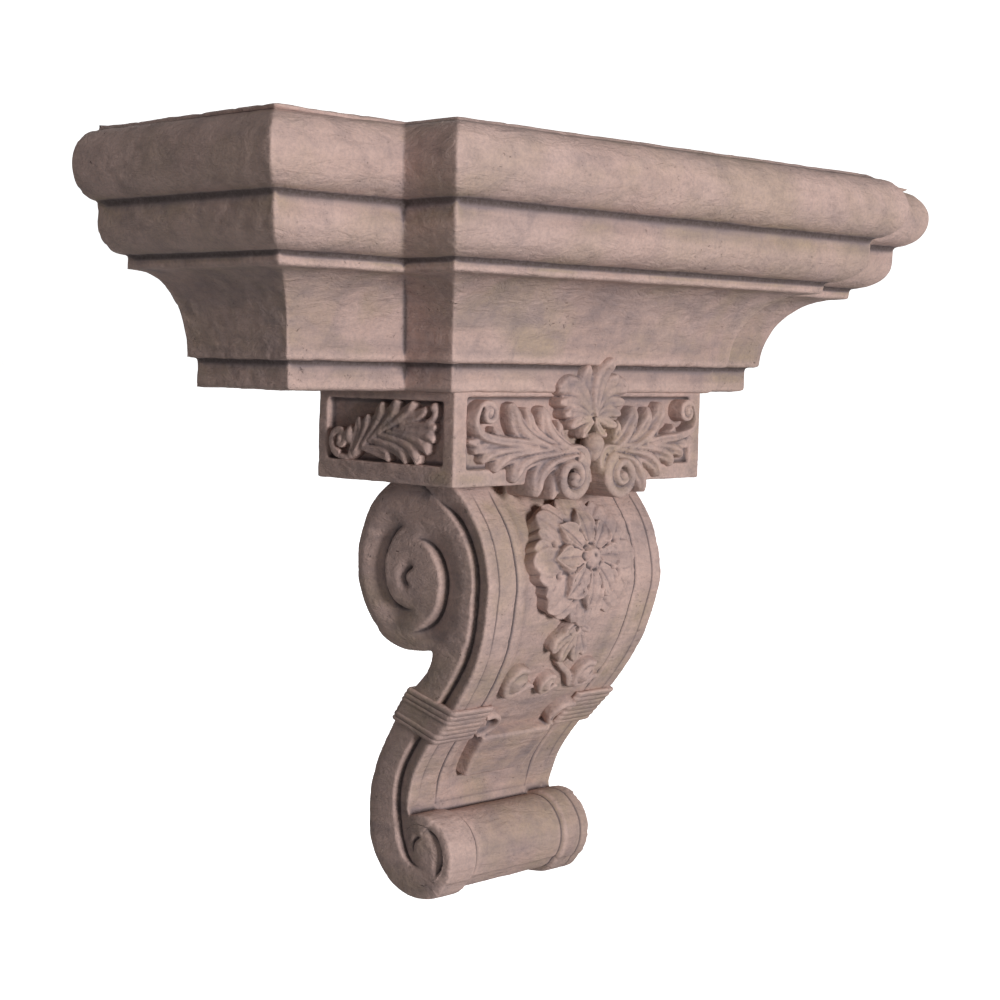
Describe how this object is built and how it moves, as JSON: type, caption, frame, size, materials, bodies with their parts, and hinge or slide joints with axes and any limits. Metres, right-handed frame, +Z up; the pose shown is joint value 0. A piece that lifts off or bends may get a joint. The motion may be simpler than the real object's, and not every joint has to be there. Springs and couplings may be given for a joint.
{
  "type": "wall bracket",
  "caption": "Scrolled wall bracket: break-front moulded shelf on a carved block and S-shaped console with volutes, flower garland, reeded bands and a rolled foot.",
  "frame": {"origin": "on the flat back, on the centre line, halfway up the shelf, where the bracket is fixed to the wall", "axes": "+X along the wall, +Y into the wall, +Z up; the front of the bracket faces -Y"},
  "size_m": [0.9142, 0.3232, 0.7178],
  "materials": {
    "cast_terracotta": "matte, pinkish terracotta with a grey-mauve patina in the hollows"
  },
  "bodies": {
    "root": {"wall_bracket": "cast_terracotta"}
  },
  "joints": []
}
